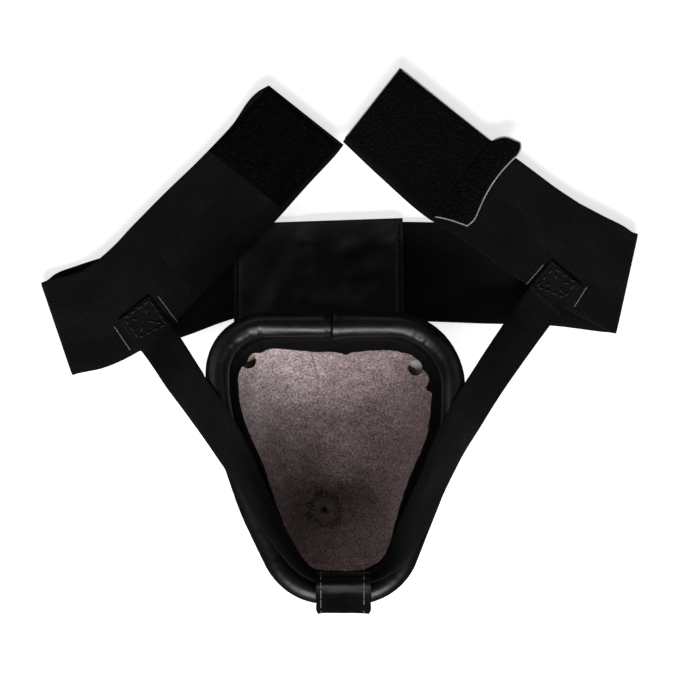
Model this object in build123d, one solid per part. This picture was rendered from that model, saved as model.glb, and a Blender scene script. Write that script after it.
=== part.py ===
from build123d import *
import math
import os

# Groin protector: a hard cup with a padded leather rim hangs from the middle of an elastic waist
# band, and one elastic leg strap runs from the band's two arms through a keeper at the cup's chin.
# It lies with the dome down and the lined inside up. The band is folded over at both sides, so that
# its arms lie on top. X runs along the band, +Y points from the chin to the band, and Z is up.
# The origin is on the surface that it lies on. All sizes are in millimetres.

os.makedirs("parts", exist_ok=True)

# Layers and their levels, from the surface up
GAP = 0.05
SLEEVE_THICK = 1.2
BAND_THICK = 1.6
FOLD_INNER_RADIUS = 1.075
TAPE_THICK = 1.8
STRAP_THICK = 1.4
BAND_LEVEL = SLEEVE_THICK + GAP
FOLD_LEVEL = BAND_LEVEL + BAND_THICK + FOLD_INNER_RADIUS
ARM_LEVEL = FOLD_LEVEL + FOLD_INNER_RADIUS
ARM_TOP = ARM_LEVEL + BAND_THICK
TAPE_TOP = ARM_TOP + TAPE_THICK
TAB_LEVEL = ARM_TOP + 0.1 + STRAP_THICK / 2

# Cup
ROLL_LEVEL = 47.0
ROLL_RADIUS = 7.5
FOAM_RADIUS = 6.0
BINDING_THICK = ROLL_RADIUS - FOAM_RADIUS - GAP
CUP_CENTER = (-1.0, -64.0)
MEAN_RADIUS = 75.0
SHELL_EDGE_LEVEL = 39.2
COVER_THICK = 1.5
SHELL_THICK = 1.2
PADDING_THICK = 2.0
LINING_THICK = 1.0
STRIP_THICK = 1.0
STRIP_LOW_LEVEL = 35.0
VENT_RADIUS = 4.5
VENT_PLACES = [(-53.7, -11.6), (45.6, -15.7)]

# Stitches are short thread bars that lie on the surface
STITCH_LENGTH = 2.6
STITCH_PITCH = 4.0
STITCH_WIDTH = 0.6
STITCH_HEIGHT = 0.3
TACK_PITCH = 1.6
ANCHOR_INSET = 3.2
TAPE_LINE_INSET = 4.5
TAPE_GROOVE_HALF = 1.0
TAPE_GROOVE_DEPTH = STITCH_HEIGHT + GAP

# Folds of the band: top and low end of each fold line
LEFT_FOLD = [(-176.2, 35.9), (-157.1, -19.1)]
RIGHT_FOLD = [(176.9, 65.1), (163.7, 5.1)]
# Lines across the band where its two ends lift
LEFT_HINGE = [(-86.5, 105.8), (-41.0, 69.1)]
RIGHT_HINGE = [(116.2, 102.2), (79.5, 56.8)]
HINGE_GAP = 0.15

# The rim's centre line: corners and the radius of each
RIM_CORNERS = [(-72, 10), (-72, -39.5), (-51.3, -99.5), (-28, -148), (31.2, -148), (67.8, -55),
               (67.8, 10)]
RIM_RADII = [28.5, 100, 140, 34, 32, 90, 36.5]

# The dome's outside: scale of the rim's outline, and level
DOME_PROFILE = [(1.06, 43.8), (1.0, 39.2), (0.9, 31.5), (0.82, 24.5), (0.72, 16.0), (0.6, 7.0),
                (0.48, 2.2), (0.36, 0)]


def save(node, shape):
    """Write one sub-part to its own file."""
    export_step(shape, "parts/" + node + ".step")


def plate(edges, bottom, thick):
    """Flat piece with the given outline, from its bottom level up."""
    return Pos(0, 0, bottom) * extrude(make_face(edges), amount=thick, dir=(0, 0, 1))


def polygon(*corners):
    """Closed outline with straight sides."""
    return Polyline(*corners, close=True).edges()


def side_profile(corners, low_x, high_x):
    """Prism along X whose corners are given as (y, z)."""
    outline = Polyline(*[(low_x, y, z) for y, z in corners], close=True)
    return extrude(make_face(outline.edges()), amount=high_x - low_x, dir=(1, 0, 0))


def toward(start, end):
    """Unit vector between two points of the plan."""
    return (Vector(*end) - Vector(*start)).normalized()


def shifted(points, direction, distance):
    """Points of the plan moved along a direction."""
    return [(x + direction.X * distance, y + direction.Y * distance) for x, y in points]


# --- Waist band: one elastic, as a centre, two folds, two arms and two ends ---

def band_center():
    """The stretch that lies flat underneath, between the folds and through the sleeve."""
    upper = [LEFT_FOLD[0], (-152, 47.5), (-61, 69.9), (39.6, 71.7), (60.6, 71.7), RIGHT_FOLD[0]]
    lower = [RIGHT_FOLD[1], (132.6, 9.3), (55.8, 11.7), (-55.2, 15.3), (-93.6, 2.7), LEFT_FOLD[1]]
    return plate(polygon(*upper, *lower), BAND_LEVEL, BAND_THICK)


def band_fold(line, outward):
    """Half ring along a fold line, between the centre and an arm."""
    start, end = line
    along = toward(start, end)
    section = Plane(origin=(start[0], start[1], FOLD_LEVEL), x_dir=outward, z_dir=along)
    outer_radius = FOLD_INNER_RADIUS + BAND_THICK
    ring = Circle(outer_radius) - Circle(FOLD_INNER_RADIUS)
    half = ring & Pos(outer_radius, 0, 0) * Rectangle(2 * outer_radius, 4 * outer_radius)
    length = (Vector(*end) - Vector(*start)).length
    return extrude(section * half, amount=length, dir=along)


def left_arm():
    low_edge = Spline(LEFT_FOLD[1], (-145, -17), (-119, -6), (-95, 14), (-65, 45), LEFT_HINGE[1])
    high_edge = Spline(LEFT_HINGE[0], (-110, 82.0), (-137.4, 54.9), (-151.8, 42.7), LEFT_FOLD[0])
    sides = [Line(*LEFT_FOLD), low_edge, Line(LEFT_HINGE[1], LEFT_HINGE[0]), high_edge]
    return plate(sides, ARM_LEVEL, BAND_THICK)


def right_arm():
    low_edge = Spline(RIGHT_FOLD[1], (148.5, 13), (123.6, 26.1), (100, 42.5), RIGHT_HINGE[1])
    high_edge = Spline(RIGHT_HINGE[0], (120.6, 98.7), (143.4, 81.9), RIGHT_FOLD[0])
    sides = [Line(*RIGHT_FOLD), low_edge, Line(RIGHT_HINGE[1], RIGHT_HINGE[0]), high_edge]
    return plate(sides, ARM_LEVEL, BAND_THICK)


def left_end():
    start = shifted(LEFT_HINGE, Vector(0.626, 0.780), 2 * HINGE_GAP)
    tip = [(2.0, 116.3), (-38.5, 151.5), (-43.0, 152.3), (-46.0, 150.8)]
    return plate(polygon(start[0], start[1], *tip), ARM_LEVEL, BAND_THICK)


def right_end():
    start = shifted(RIGHT_HINGE, Vector(-0.777, 0.629), 2 * HINGE_GAP)
    tip = [(54.6, 74.1), (3.6, 120.9), (37.2, 163.2), (91.2, 120.3), (106.2, 110.1)]
    return plate(polygon(start[1], *tip, start[0]), ARM_LEVEL, BAND_THICK)


# --- Closure tapes on the band's ends ---

LOOP_CORNERS = [(-76.6, 114.2), (-35.4, 81.4), (-0.6, 116.8), (-41.8, 151.2)]
HOOK_CORNERS = [(36.8, 162.4), (4.8, 121.6), (55.9, 75.9), (90.6, 119.6)]


def inset(corners, distance):
    """Corners of a closed outline moved towards its middle."""
    middle = sum((Vector(*corner) for corner in corners), Vector()) * (1 / len(corners))
    moved = [Vector(*corner) + (middle - Vector(*corner)).normalized() * distance for corner in corners]
    return [(point.X, point.Y) for point in moved]


def tape(corners):
    """Tape pressed down along its stitch line, so that the thread lies under its face."""
    outer = polygon(*inset(corners, TAPE_LINE_INSET - TAPE_GROOVE_HALF))
    inner = polygon(*inset(corners, TAPE_LINE_INSET + TAPE_GROOVE_HALF))
    low = TAPE_TOP - TAPE_GROOVE_DEPTH
    groove = plate(outer, low, 2 * TAPE_GROOVE_DEPTH) - plate(inner, low, 2 * TAPE_GROOVE_DEPTH)
    return plate(polygon(*corners), ARM_TOP, TAPE_THICK) - groove


def tape_stitching(corners, sides):
    """Thread in the groove, along some of the tape's sides."""
    line = inset(corners, TAPE_LINE_INSET)
    rows = []
    for i in sides:
        rows += stitch_row(line[i], line[(i + 1) % 4], TAPE_TOP - TAPE_GROOVE_DEPTH)
    return Compound(rows)


def hook_flap():
    """The hook tape's free tail: it widens past the band's edges."""
    tail = Spline((56.3, 75.7), (66.0, 73.0), (76.8, 69.3))
    free_edge = Spline(tail @ 1, (84.8, 80.0), (96.0, 100.5), (107.4, 111.9))
    ear = Spline(free_edge @ 1, (107.6, 118.8), (100.0, 121.4), (90.9, 119.4))
    sides = [tail, free_edge, ear, Line(ear @ 1, tail @ 0)]
    return plate(sides, ARM_TOP + 0.35, TAPE_THICK - 0.2)


# --- Stitching ---

def stitch(x, y, level, angle):
    """One thread bar, lying on a level."""
    bar = Box(STITCH_LENGTH, STITCH_WIDTH, STITCH_HEIGHT)
    return Pos(x, y, level + STITCH_HEIGHT / 2 + GAP / 2) * Rot(0, 0, angle) * bar


def stitch_row(start, end, level):
    """Thread bars end to end along a straight line of the plan, clear of both its ends."""
    run = Vector(*end) - Vector(*start)
    count = int(run.length / STITCH_PITCH)
    angle = math.degrees(math.atan2(run.Y, run.X))
    middles = [Vector(*start) + run * ((i + 0.5) / count) for i in range(count)]
    return [stitch(point.X, point.Y, level, angle) for point in middles]


def box_and_cross(corners, level):
    """Stitched square with both its diagonals, which leave out the crossing."""
    rows = []
    for i in range(4):
        rows += stitch_row(corners[i], corners[(i + 1) % 4], level)
    middle = sum((Vector(*corner) for corner in corners), Vector()) * 0.25
    for corner in corners:
        outer = Vector(*corner)
        inward = (middle - outer).normalized()
        start = outer + inward * (STITCH_LENGTH - 0.1)
        end = middle - inward * (STITCH_PITCH / 2)
        rows += stitch_row((start.X, start.Y), (end.X, end.Y), level)
    return Compound(rows)


def zigzag(start, end, level):
    """Bar tack: short slanted thread bars side by side along a line."""
    run = Vector(*end) - Vector(*start)
    count = int(run.length / TACK_PITCH)
    angle = math.degrees(math.atan2(run.Y, run.X)) + 90
    middles = [Vector(*start) + run * ((i + 0.5) / count) for i in range(count)]
    return [stitch(point.X, point.Y, level, angle) for point in middles]


# --- Sleeve and tongue ---

SLEEVE_LEFT = -63.0
SLEEVE_RIGHT = 38.5
SLEEVE_LOW = 12.0
SLEEVE_TOP = 74.2
SLEEVE_HEIGHT = 2 * SLEEVE_THICK + BAND_THICK + 2 * GAP


def belt_sleeve():
    """Leather folded over the band's upper edge, open along its lower edge."""
    fold = SLEEVE_TOP - SLEEVE_THICK
    inner = SLEEVE_HEIGHT - SLEEVE_THICK
    back = [(SLEEVE_LOW, 0), (SLEEVE_TOP, 0), (SLEEVE_TOP, SLEEVE_HEIGHT), (SLEEVE_LOW, SLEEVE_HEIGHT)]
    front = [(SLEEVE_LOW, inner), (fold, inner), (fold, SLEEVE_THICK), (SLEEVE_LOW, SLEEVE_THICK)]
    return side_profile(back + front, SLEEVE_LEFT, SLEEVE_RIGHT)


def hinge_tongue():
    """Leather under the rim, from the sleeve to the back of the dome."""
    low = [(SLEEVE_LOW - 0.3, 0.3), (-10, 0.3), (-24, 2.4)]
    high = [(-23.6, 3.6), (-9.8, 1.5), (SLEEVE_LOW - 0.3, 1.5)]
    return side_profile(low + high, -50, 30)


# --- Cup ---

def rim_line(scale, level):
    """The rim's outline, scaled about the cup's middle, as a closed wire at a level."""
    cx, cy = CUP_CENTER
    corners = [(cx + (x - cx) * scale, cy + (y - cy) * scale) for x, y in RIM_CORNERS]
    flat = FilletPolyline(*corners, radius=[r * scale for r in RIM_RADII], close=True)
    return Pos(0, 0, level) * flat.wire()


def dome(depth):
    """Solid bowl whose outside lies at a depth under the dome's outer surface."""
    radius = [scale * MEAN_RADIUS for scale, _ in DOME_PROFILE]
    levels = [level for _, level in DOME_PROFILE]
    last = len(levels) - 1
    faces = []
    for i in range(len(levels)):
        before, after = max(i - 1, 0), min(i + 1, last)
        run, rise = radius[before] - radius[after], levels[before] - levels[after]
        slant = math.hypot(run, rise)
        inner_radius = radius[i] - depth * rise / slant
        inner_level = levels[i] + depth * run / slant
        if i == last:
            inner_radius, inner_level = radius[i], levels[i] + depth
        faces.append(make_face(rim_line(inner_radius / MEAN_RADIUS, inner_level).edges()))
    bowl = loft(faces, ruled=True)
    room = Pos(0, -70, SHELL_EDGE_LEVEL / 2) * Box(300, 300, SHELL_EDGE_LEVEL)
    return bowl & room


def layer(depth, thick):
    """One layer of the cup's wall, open at the top."""
    return dome(depth) - dome(depth + thick)


def vented(wall):
    """Cut the two vent holes straight down through a layer."""
    for x, y in VENT_PLACES:
        wall -= Pos(x, y, 30) * Cylinder(VENT_RADIUS, 60)
    return wall


def swept_ring(section_face):
    """Sweep a round section along the rim's centre line."""
    rim = rim_line(1.0, ROLL_LEVEL)
    start = Plane(origin=rim @ 0, z_dir=rim % 0)
    return sweep(start * section_face, path=rim)


def inner_strip(depth):
    """The binding's edge, turned down on to the lining."""
    height = SHELL_EDGE_LEVEL - STRIP_LOW_LEVEL
    band = Pos(0, -70, STRIP_LOW_LEVEL + height / 2) * Box(300, 300, height)
    return layer(depth, STRIP_THICK) & band


# --- Leg strap and keeper ---

# Across the strap, measured from the rim's centre line: (towards the cup's middle, up)
FLAT_ON_ROLL = [(-9.0, 9.0), (1.0, 9.4), (11.0, 8.9)]
TIPPING = [(-6.0, 9.6), (3.5, 8.9), (12.0, 2.0)]
LEANING_IN = [(-1.5, 10.0), (7.2, 6.8), (14.2, -6.5)]
DRAPED = [(-8.4, 5.8), (0.5, 10.5), (9.4, 5.8)]
ON_EDGE = [(3.5, 14.0), (8.8, 6.8), (9.0, -6.0)]

# Stations on each side, as a fraction of the way round the rim, and what lies across there
LEFT_STATIONS = [
    (0.3, FLAT_ON_ROLL),
    (0.337, TIPPING),
    (0.373, LEANING_IN),
    (0.463, LEANING_IN),
    (0.54, ON_EDGE),
]
RIGHT_STATIONS = [
    (0.61, ON_EDGE),
    (0.665, LEANING_IN),
    (0.71, DRAPED),
    (0.765, DRAPED),
    (0.812, FLAT_ON_ROLL),
]

# Free stretches from the anchored tabs up to the rim: outer edge, middle and inner edge
LEFT_FREE = [
    [(-131.9, 13.8, 0), (-122.2, 20.7, 0), (-112.5, 27.6, 0)],
    [(-120.9, -0.9, 0), (-110.5, 4.5, 0), (-100.2, 9.7, 0)],
    [(-111.0, -16.5, 9), (-101.5, -9.5, 13), (-92.0, -3.0, 17)],
    [(-99.2, -31.0, 23), (-90.0, -25.0, 32), (-82.5, -18.0, 42)],
    [(-94.0, -36.0, 29), (-86.0, -30.0, 38), (-76.8, -23.6, 47.6)],
    [(-88.0, -45.5, 42), (-79.5, -39.0, 47), (-70.7, -32.2, 49.8)],
]
RIGHT_FREE = [
    [(144.8, 35.4, 0), (136.2, 41.3, 0), (127.6, 47.2, 0)],
    [(136.4, 23.4, 0), (125.8, 27.8, 0), (115.4, 32.2, 0)],
    [(123.0, 3.0, 11), (113.0, 10.0, 15), (104.0, 16.5, 19)],
    [(105.0, -21.5, 27), (97.0, -14.0, 35), (87.0, -7.5, 43)],
    [(97.0, -32.5, 35), (88.5, -25.5, 42), (79.0, -19.0, 48.4)],
    [(90.0, -43.0, 43), (81.0, -36.5, 47), (71.5, -30.5, 49.8)],
]


def rim_station(fraction, across):
    """Three points across the strap at a place on the rim."""
    rim = rim_line(1.0, ROLL_LEVEL)
    center = rim @ fraction
    inward = Vector(0, 0, 1).cross(rim % fraction).normalized()
    if inward.dot(Vector(*CUP_CENTER, ROLL_LEVEL) - center) < 0:
        inward = inward * -1
    return [center + inward * d + Vector(0, 0, z) for d, z in across]


def strap_section(points, travel):
    """Cross-section of the strap: the three points given, and the same moved out by its thickness."""
    half = STRAP_THICK / 2
    outer, middle, inner = points
    normals = []
    for a, b in [(outer, middle), (outer, inner), (middle, inner)]:
        normals.append(travel.cross(b - a).normalized())
    above = [p + n * half for p, n in zip(points, normals)]
    below = [p - n * half for p, n in zip(points, normals)]
    return Wire.make_polygon(above + below[::-1], close=True)


def strap_solid(stations):
    """Ruled solid through all the stations of a strap."""
    middles = [points[1] for points in stations]
    wires = []
    for i, points in enumerate(stations):
        travel = middles[min(i + 1, len(middles) - 1)] - middles[max(i - 1, 0)]
        wires.append(strap_section(points, Vector(travel.X, travel.Y, 0)))
    return Solid.make_loft(wires, ruled=True)


def leg_strap():
    """One elastic from the left tab, along the rim, through the keeper, and back to the right tab."""
    left = [[Vector(x, y, TAB_LEVEL + z) for x, y, z in row] for row in LEFT_FREE]
    right = [[Vector(x, y, TAB_LEVEL + z) for x, y, z in row] for row in RIGHT_FREE[::-1]]
    rim_left = [rim_station(*station) for station in LEFT_STATIONS]
    rim_right = [rim_station(*station) for station in RIGHT_STATIONS]
    return strap_solid(left + rim_left + rim_right + right)


KEEPER_LEFT = -13.4
KEEPER_RIGHT = 19.0
KEEPER_THICK = 1.5
KEEPER_PATH = [(-149.6, 37.0), (-158.0, 38.5), (-159.9, 48.0), (-158.0, 58.0), (-149.0, 63.6),
               (-138.6, 62.8), (-133.8, 54.0), (-133.6, 40.8)]


def keeper_line():
    """The middle of the keeper's leather, seen from the side."""
    points = [(KEEPER_LEFT, y, z) for y, z in KEEPER_PATH]
    return FilletPolyline(*points, radius=[2.5, 5, 5, 6, 6, 5])


def keeper_loop():
    """Leather loop over the rim and the strap."""
    line = keeper_line().wire()
    start = Plane(origin=line @ 0, z_dir=line % 0, x_dir=(1, 0, 0))
    width = KEEPER_RIGHT - KEEPER_LEFT
    strip = start * Pos(width / 2, 0, 0) * Rectangle(width, KEEPER_THICK)
    return sweep(strip, path=line)


def keeper_stitching():
    """Two rows across the loop, just inside its cut edges."""
    line = keeper_line().wire()
    count = int(line.length / STITCH_PITCH)
    bars = []
    for x in (KEEPER_LEFT + 2.8, KEEPER_RIGHT - 4.2):
        for i in range(3, count - 1):
            fraction = (i + 0.5) / count
            along = line % fraction
            out = along.cross(Vector(1, 0, 0)).normalized()
            if out.dot(Vector(0, -148, ROLL_LEVEL) - line @ fraction) > 0:
                out = out * -1
            lift = KEEPER_THICK / 2 + STITCH_HEIGHT / 2 + GAP
            center = line @ fraction + out * lift
            seat = Plane(origin=(x, center.Y, center.Z), x_dir=along, z_dir=out)
            bars.append(seat * Box(STITCH_LENGTH, STITCH_WIDTH, STITCH_HEIGHT))
    return Compound(bars)


# --- Write the sub-parts ---

left_out = toward(*LEFT_FOLD).cross(Vector(0, 0, 1))
right_out = toward(*RIGHT_FOLD).cross(Vector(0, 0, -1))
save("waist_band_center", band_center())
save("left_band_fold", band_fold(LEFT_FOLD, left_out))
save("right_band_fold", band_fold(RIGHT_FOLD, right_out))
save("left_band_arm", left_arm())
save("right_band_arm", right_arm())
save("left_band_end", left_end())
save("right_band_end", right_end())

save("loop_tape", tape(LOOP_CORNERS))
save("loop_tape_stitching", tape_stitching(LOOP_CORNERS, (1, 2, 3)))
save("hook_tape", tape(HOOK_CORNERS))
save("hook_tape_stitching", tape_stitching(HOOK_CORNERS, (3, 0, 1)))
save("hook_flap", hook_flap())

save("belt_sleeve", belt_sleeve())
sleeve_rows = []
for seam_x in (SLEEVE_LEFT + 2.4, SLEEVE_RIGHT - 2.3):
    sleeve_rows += stitch_row((seam_x, SLEEVE_LOW + 2), (seam_x, SLEEVE_TOP - 3.2), SLEEVE_HEIGHT)
save("sleeve_stitching", Compound(sleeve_rows))
save("hinge_tongue", hinge_tongue())

DEPTH_SHELL = COVER_THICK + GAP
DEPTH_PADDING = DEPTH_SHELL + SHELL_THICK + GAP
DEPTH_LINING = DEPTH_PADDING + PADDING_THICK + GAP
DEPTH_STRIP = DEPTH_LINING + LINING_THICK + GAP
save("outer_cover", layer(0, COVER_THICK))
save("hard_shell", vented(layer(DEPTH_SHELL, SHELL_THICK)))
save("shell_padding", vented(layer(DEPTH_PADDING, PADDING_THICK)))
save("suede_lining", vented(layer(DEPTH_LINING, LINING_THICK)))
save("rim_inner_strip", inner_strip(DEPTH_STRIP))
save("rim_foam", swept_ring(Circle(FOAM_RADIUS)))
save("rim_binding", swept_ring(Circle(ROLL_RADIUS) - Circle(ROLL_RADIUS - BINDING_THICK)))

save("leg_strap", leg_strap())
save("keeper_loop", keeper_loop())
save("keeper_stitching", keeper_stitching())

TAB_TOP = TAB_LEVEL + STRAP_THICK / 2
left_tab = [LEFT_FREE[0][0], LEFT_FREE[0][2], LEFT_FREE[1][2], LEFT_FREE[1][0]]
right_tab = [RIGHT_FREE[0][0], RIGHT_FREE[0][2], RIGHT_FREE[1][2], RIGHT_FREE[1][0]]
for side, tab in (("left", left_tab), ("right", right_tab)):
    box = inset([corner[:2] for corner in tab], ANCHOR_INSET)
    save(side + "_anchor_stitching", box_and_cross(box, TAB_TOP))
left_tacks = zigzag((-134.6, 9.0), (-125.0, -5.0), ARM_TOP)
left_tacks += zigzag((-108.2, 27.0), (-96.6, 11.5), ARM_TOP)
save("left_bar_tacks", Compound(left_tacks))
right_tacks = zigzag((122.5, 46.0), (112.0, 34.0), ARM_TOP)
right_tacks += zigzag((148.3, 32.5), (141.0, 21.0), ARM_TOP)
save("right_bar_tacks", Compound(right_tacks))
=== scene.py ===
"""Looks of the groin protector: elastic webbing, glossy leather, suede, hook and loop, and thread.

Lengths are in millimetres in the row's frame, and become metres where a mesh is made.
"""

import math

import bmesh
import bpy
import numpy as np
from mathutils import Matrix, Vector, noise
from mathutils.bvhtree import BVHTree


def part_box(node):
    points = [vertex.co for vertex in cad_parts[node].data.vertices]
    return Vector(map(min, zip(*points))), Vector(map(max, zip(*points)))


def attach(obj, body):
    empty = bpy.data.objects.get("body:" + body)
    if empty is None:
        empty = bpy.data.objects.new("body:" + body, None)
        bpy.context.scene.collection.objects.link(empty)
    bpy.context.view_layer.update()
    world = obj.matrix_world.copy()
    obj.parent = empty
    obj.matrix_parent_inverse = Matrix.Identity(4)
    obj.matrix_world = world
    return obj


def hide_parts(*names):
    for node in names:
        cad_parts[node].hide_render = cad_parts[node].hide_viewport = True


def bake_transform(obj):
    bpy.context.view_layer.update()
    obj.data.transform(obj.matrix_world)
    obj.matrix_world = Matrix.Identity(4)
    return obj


MM = 0.001
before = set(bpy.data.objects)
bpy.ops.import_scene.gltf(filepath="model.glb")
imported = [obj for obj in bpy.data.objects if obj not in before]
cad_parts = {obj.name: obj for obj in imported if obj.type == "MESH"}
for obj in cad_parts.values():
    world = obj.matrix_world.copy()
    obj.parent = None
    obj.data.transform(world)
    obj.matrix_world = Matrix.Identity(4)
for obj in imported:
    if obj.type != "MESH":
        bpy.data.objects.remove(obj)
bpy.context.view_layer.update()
rng = np.random.default_rng(11)

# ---- sizes and places, close to the CAD model's
BAND_THICK = 1.6
BACK_MIDDLE = 2.05
FOLD_LEVEL = 3.925
FOLD_RADIUS = 1.875
ARM_MIDDLE = 5.8
ARM_TOP = 6.6
STRAP_THICK = 1.4
ROLL_LEVEL = 47.0
ROLL_RADIUS = 7.5
SHELL_EDGE_LEVEL = 39.2
MEAN_RADIUS = 75.0
CUP_CENTER = np.array([-1.0, -64.0])
LINING_DEPTH = 4.85
LINING_FACE = 5.85
COVER_THICK = 1.5
RIM_CORNERS = [(-72, 10), (-72, -39.5), (-51.3, -99.5), (-28, -148), (31.2, -148), (67.8, -55), (67.8, 10)]
RIM_RADII = [28.5, 100, 140, 34, 32, 90, 36.5]
DOME_PROFILE = [(1.06, 43.8), (1.0, 39.2), (0.9, 31.5), (0.82, 24.5), (0.72, 16.0), (0.6, 7.0), (0.48, 2.2),
                (0.36, 0.1)]
LEFT_FOLD = [(-176.4, 36.0), (-157.5, -19.5)]
RIGHT_FOLD = [(176.9, 65.1), (163.7, 5.1)]
LEFT_HINGE = [(-86.5, 105.8), (-41.0, 69.1)]
RIGHT_HINGE = [(79.5, 56.8), (116.2, 102.2)]
BETWEEN_TIPS = 2.8
VENTS = [(-53.7, -11.6), (45.6, -15.7)]
VENT_RADIUS = 4.5
RING_MARK = (-8.6, -100.6)
CREASE_MARK = (-14.4, -14.1)


# ---- curves and meshes
def unit(vectors):
    """Vectors scaled to a length of 1."""
    return vectors / np.maximum(np.linalg.norm(vectors, axis=-1, keepdims=True), 1e-9)


def run_along(points):
    """Distance along a row of points, from its first one."""
    return np.concatenate([[0], np.cumsum(np.linalg.norm(np.diff(points, axis=0), axis=1))])


def ruled(first, second, u):
    """Grid of points between two lines of points, at fractions u across."""
    return first[:, None] * (1 - u)[None, :, None] + second[:, None] * u[None, :, None]


def smooth_through(points, count):
    """Evenly spaced points on a smooth curve through the given ones (cubic, with central tangents)."""
    pts = np.array(points, float)
    flat = pts.reshape(len(pts), -1)
    at = run_along(flat)
    tangents = np.gradient(flat, at, axis=0, edge_order=1)
    t = np.linspace(0, at[-1], count)
    i = np.clip(np.searchsorted(at, t, side="right") - 1, 0, len(at) - 2)
    h = (at[i + 1] - at[i])[:, None]
    f = ((t - at[i]) / h[:, 0])[:, None]
    out = ((2 * f**3 - 3 * f**2 + 1) * flat[i] + (f**3 - 2 * f**2 + f) * h * tangents[i]
           + (3 * f**2 - 2 * f**3) * flat[i + 1] + (f**3 - f**2) * h * tangents[i + 1])
    return out.reshape((count,) + pts.shape[1:])


def smoothstep(low, high, value):
    f = np.clip((value - low) / (high - low), 0, 1)
    return f * f * (3 - 2 * f)


def rounded_outline(corners, radii, count):
    """Evenly spaced points round a closed outline of straight sides joined by tangent arcs."""
    places = np.array(corners, float)
    share = np.linspace(0, 1, 41)[:, None]
    dense = []
    for corner, last, following, radius in zip(places, np.roll(places, 1, 0), np.roll(places, -1, 0), radii):
        before, after = unit(last - corner), unit(following - corner)
        half = math.acos(before @ after) / 2
        center = corner + unit(before + after) * radius / math.sin(half)
        start, end = (corner + side * radius / math.tan(half) - center for side in (before, after))
        turn = math.pi - 2 * half
        arc = start * np.sin((1 - share) * turn) + end * np.sin(share * turn)
        dense.append(center + arc / math.sin(turn))
    dense = np.concatenate(dense + [dense[0][:1]])
    at = run_along(dense)
    even = np.linspace(0, at[-1], count, endpoint=False)
    return np.stack([np.interp(even, at, dense[:, k]) for k in (0, 1)], axis=1)


def wobble(points, scale, seed=0.0):
    """Smooth noise from -1 to 1 at each point of an array of 3-D points."""
    flat = np.asarray(points, float).reshape(-1, 3) / scale
    values = [noise.noise(Vector((x + seed, y - seed, z + 0.37 * seed))) for x, y, z in flat]
    return np.array(values).reshape(np.asarray(points).shape[:-1])


def make_object(name, verts, faces, materials, uvs=None, face_material=None, sharp=50):
    """Mesh object from millimetre vertices, with smooth shading and sharp corners."""
    mesh = bpy.data.meshes.new(name)
    verts = np.asarray(verts, float).reshape(-1, 3)
    mesh.from_pydata((verts * MM).tolist(), [], [list(map(int, f)) for f in faces])
    for mat in materials:
        mesh.materials.append(mat)
    if uvs is not None:
        layer = mesh.uv_layers.new(name="UVMap")
        corner = np.zeros(len(mesh.loops), np.int32)
        mesh.loops.foreach_get("vertex_index", corner)
        layer.data.foreach_set("uv", np.asarray(uvs, np.float32).reshape(-1, 2)[corner].ravel())
    if face_material is not None:
        mesh.polygons.foreach_set("material_index", np.asarray(face_material, np.int32))
    mesh.polygons.foreach_set("use_smooth", np.ones(len(mesh.polygons), bool))
    mesh.update()
    mesh.set_sharp_from_angle(angle=math.radians(sharp))
    obj = bpy.data.objects.new(name, mesh)
    bpy.context.scene.collection.objects.link(obj)
    return obj


def quads(rows, cols, wrap_rows=False, wrap_cols=False, first=0, flip=False):
    """Faces of a grid whose vertices are numbered row by row."""
    r, c = np.meshgrid(np.arange(rows - 1 + wrap_rows), np.arange(cols - 1 + wrap_cols), indexing="ij")
    below, right = (r + 1) % rows * cols, (c + 1) % cols
    faces = np.stack([r * cols + c, r * cols + right, below + right, below + c], axis=-1).reshape(-1, 4)
    return (faces[:, [0, 3, 2, 1]] if flip else faces) + first


def closed_sheet(name, top, bottom, material, uvs=None, wrap=False, sharp=50):
    """Closed sheet between two grids of points. wrap joins the last row to the first."""
    rows, cols = top.shape[:2]
    count = rows * cols
    index = np.arange(count).reshape(rows, cols)
    faces = [quads(rows, cols, wrap_rows=wrap), quads(rows, cols, wrap_rows=wrap, first=count, flip=True)]
    edges = [(index[:, 0], 1), (index[:, -1], -1)]
    if not wrap:
        edges += [(index[0, :], -1), (index[-1, :], 1)]
    for line, way in edges:
        a, b = (line, np.roll(line, -1)) if wrap else (line[:-1], line[1:])
        faces.append(np.stack([a, b, b + count, a + count], axis=-1)[:, ::way])
    both = None if uvs is None else np.stack([uvs, uvs])
    obj = make_object(name, np.stack([top, bottom]), np.concatenate(faces), [material], both, sharp=sharp)
    outward(obj)
    return obj


def sheet(name, grid, half, material, uvs=None, up=1, sharp=50):
    """Closed sheet that lies half a thickness either side of a middle surface."""
    thick = surface_normals(grid) * up * np.broadcast_to(half, grid.shape[:2])[..., None]
    return closed_sheet(name, grid + thick, grid - thick, material, uvs, sharp=sharp)


def ribbon(name, grid, half, material, width, up=1, v_offset=0.0):
    """Webbing: a sheet with UVs in millimetres, across its width and along its middle."""
    across = width * np.linspace(0, 1, grid.shape[1])[None]
    along = run_along(grid[:, grid.shape[1] // 2])[:, None] + v_offset
    uvs = np.stack(np.broadcast_arrays(across, along), axis=-1)
    return sheet(name, grid, half, material, uvs, up, sharp=60)


def swept(line, x):
    """Grid of points: a line of (y, z) points, repeated at each x."""
    grid = np.empty((len(line), len(x), 3))
    grid[..., 0] = x
    grid[..., 1:] = line[:, None]
    return grid


def outward(obj):
    """Turn all faces outwards."""
    bm = bmesh.new()
    bm.from_mesh(obj.data)
    bmesh.ops.recalc_face_normals(bm, faces=bm.faces)
    bm.to_mesh(obj.data)
    bm.free()


def surface_normals(grid):
    """Unit normals of a grid of points."""
    return unit(np.cross(np.gradient(grid, axis=1), np.gradient(grid, axis=0)))


def ride(obj, slot, body, *nodes):
    """Hide the CAD nodes that a piece stands for, and put the piece under the body that it rides on. The slot
    is not used.
    """
    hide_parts(*nodes)
    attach(obj, body)


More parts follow.
